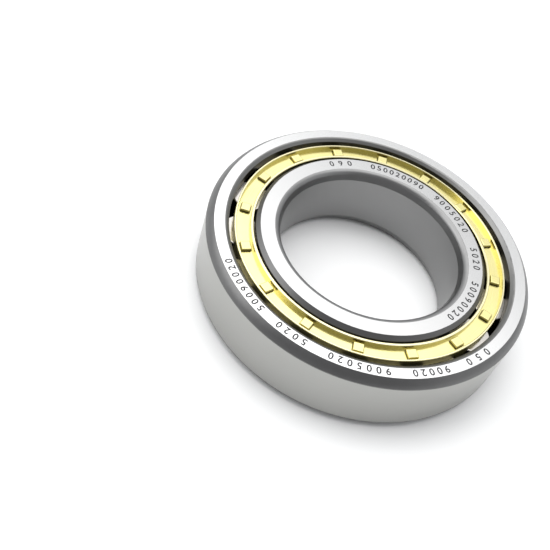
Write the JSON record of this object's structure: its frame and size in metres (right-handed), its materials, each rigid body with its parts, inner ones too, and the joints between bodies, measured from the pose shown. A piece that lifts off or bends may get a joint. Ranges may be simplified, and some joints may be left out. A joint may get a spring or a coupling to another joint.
{
  "type": "cylindrical roller bearing",
  "caption": "Single-row cylindrical roller bearing with a flanged outer ring, a one-rib inner ring and a riveted brass cage.",
  "frame": {"origin": "centre of the bearing, on its axis and halfway through its width", "axes": "+Z along the bearing axis, towards the side where the inner ring has its rib; +X and +Y lie in the mid-plane"},
  "size_m": [0.09, 0.09, 0.02],
  "materials": {
    "ring_steel": "ground",
    "roller_steel": "honed",
    "cage_brass": "turned"
  },
  "bodies": {
    "outer_ring": {"outer_ring": "ring_steel"},
    "inner_ring": {"inner_ring": "ring_steel"},
    "cage": {"cage_body": "cage_brass", "cage_cover": "cage_brass"},
    "roller_01": {"roller_01": "roller_steel"},
    "roller_02": {"roller_02": "roller_steel"},
    "roller_03": {"roller_03": "roller_steel"},
    "roller_04": {"roller_04": "roller_steel"},
    "roller_05": {"roller_05": "roller_steel"},
    "roller_06": {"roller_06": "roller_steel"},
    "roller_07": {"roller_07": "roller_steel"},
    "roller_08": {"roller_08": "roller_steel"},
    "roller_09": {"roller_09": "roller_steel"},
    "roller_10": {"roller_10": "roller_steel"},
    "roller_11": {"roller_11": "roller_steel"},
    "roller_12": {"roller_12": "roller_steel"},
    "roller_13": {"roller_13": "roller_steel"},
    "roller_14": {"roller_14": "roller_steel"},
    "roller_15": {"roller_15": "roller_steel"},
    "roller_16": {"roller_16": "roller_steel"}
  },
  "joints": [
    {"name": "inner_ring_spin", "type": "hinge", "parent": "outer_ring", "child": "inner_ring", "pos_m": [0, 0, 0], "axis": [0, 0, 1], "continuous": true},
    {"name": "cage_spin", "type": "hinge", "parent": "outer_ring", "child": "cage", "pos_m": [0, 0, 0], "axis": [0, 0, 1], "continuous": true},
    {"name": "roller_01_spin", "type": "hinge", "parent": "cage", "child": "roller_01", "pos_m": [0.00123, -0.03523, 0], "axis": [0, 0, 1], "continuous": true},
    {"name": "roller_02_spin", "type": "hinge", "parent": "cage", "child": "roller_02", "pos_m": [0.01462, -0.03208, 0], "axis": [0, 0, 1], "continuous": true},
    {"name": "roller_03_spin", "type": "hinge", "parent": "cage", "child": "roller_03", "pos_m": [0.02578, -0.02404, 0], "axis": [0, 0, 1], "continuous": true},
    {"name": "roller_04_spin", "type": "hinge", "parent": "cage", "child": "roller_04", "pos_m": [0.03302, -0.01234, 0], "axis": [0, 0, 1], "continuous": true},
    {"name": "roller_05_spin", "type": "hinge", "parent": "cage", "child": "roller_05", "pos_m": [0.03523, 0.00123, 0], "axis": [0, 0, 1], "continuous": true},
    {"name": "roller_06_spin", "type": "hinge", "parent": "cage", "child": "roller_06", "pos_m": [0.03208, 0.01462, 0], "axis": [0, 0, 1], "continuous": true},
    {"name": "roller_07_spin", "type": "hinge", "parent": "cage", "child": "roller_07", "pos_m": [0.02404, 0.02578, 0], "axis": [0, 0, 1], "continuous": true},
    {"name": "roller_08_spin", "type": "hinge", "parent": "cage", "child": "roller_08", "pos_m": [0.01234, 0.03302, 0], "axis": [0, 0, 1], "continuous": true},
    {"name": "roller_09_spin", "type": "hinge", "parent": "cage", "child": "roller_09", "pos_m": [-0.00123, 0.03523, 0], "axis": [0, 0, 1], "continuous": true},
    {"name": "roller_10_spin", "type": "hinge", "parent": "cage", "child": "roller_10", "pos_m": [-0.01462, 0.03208, 0], "axis": [0, 0, 1], "continuous": true},
    {"name": "roller_11_spin", "type": "hinge", "parent": "cage", "child": "roller_11", "pos_m": [-0.02578, 0.02404, 0], "axis": [0, 0, 1], "continuous": true},
    {"name": "roller_12_spin", "type": "hinge", "parent": "cage", "child": "roller_12", "pos_m": [-0.03302, 0.01234, 0], "axis": [0, 0, 1], "continuous": true},
    {"name": "roller_13_spin", "type": "hinge", "parent": "cage", "child": "roller_13", "pos_m": [-0.03523, -0.00123, 0], "axis": [0, 0, 1], "continuous": true},
    {"name": "roller_14_spin", "type": "hinge", "parent": "cage", "child": "roller_14", "pos_m": [-0.03208, -0.01462, 0], "axis": [0, 0, 1], "continuous": true},
    {"name": "roller_15_spin", "type": "hinge", "parent": "cage", "child": "roller_15", "pos_m": [-0.02404, -0.02578, 0], "axis": [0, 0, 1], "continuous": true},
    {"name": "roller_16_spin", "type": "hinge", "parent": "cage", "child": "roller_16", "pos_m": [-0.01234, -0.03302, 0], "axis": [0, 0, 1], "continuous": true}
  ],
  "couplings": [
    {"joint": "cage_spin", "follows": "inner_ring_spin", "ratio": 0.42199},
    {"joint": "roller_01_spin", "follows": "inner_ring_spin", "ratio": -3.1265},
    {"joint": "roller_02_spin", "follows": "inner_ring_spin", "ratio": -3.1265},
    {"joint": "roller_03_spin", "follows": "inner_ring_spin", "ratio": -3.1265},
    {"joint": "roller_04_spin", "follows": "inner_ring_spin", "ratio": -3.1265},
    {"joint": "roller_05_spin", "follows": "inner_ring_spin", "ratio": -3.1265},
    {"joint": "roller_06_spin", "follows": "inner_ring_spin", "ratio": -3.1265},
    {"joint": "roller_07_spin", "follows": "inner_ring_spin", "ratio": -3.1265},
    {"joint": "roller_08_spin", "follows": "inner_ring_spin", "ratio": -3.1265},
    {"joint": "roller_09_spin", "follows": "inner_ring_spin", "ratio": -3.1265},
    {"joint": "roller_10_spin", "follows": "inner_ring_spin", "ratio": -3.1265},
    {"joint": "roller_11_spin", "follows": "inner_ring_spin", "ratio": -3.1265},
    {"joint": "roller_12_spin", "follows": "inner_ring_spin", "ratio": -3.1265},
    {"joint": "roller_13_spin", "follows": "inner_ring_spin", "ratio": -3.1265},
    {"joint": "roller_14_spin", "follows": "inner_ring_spin", "ratio": -3.1265},
    {"joint": "roller_15_spin", "follows": "inner_ring_spin", "ratio": -3.1265},
    {"joint": "roller_16_spin", "follows": "inner_ring_spin", "ratio": -3.1265}
  ]
}
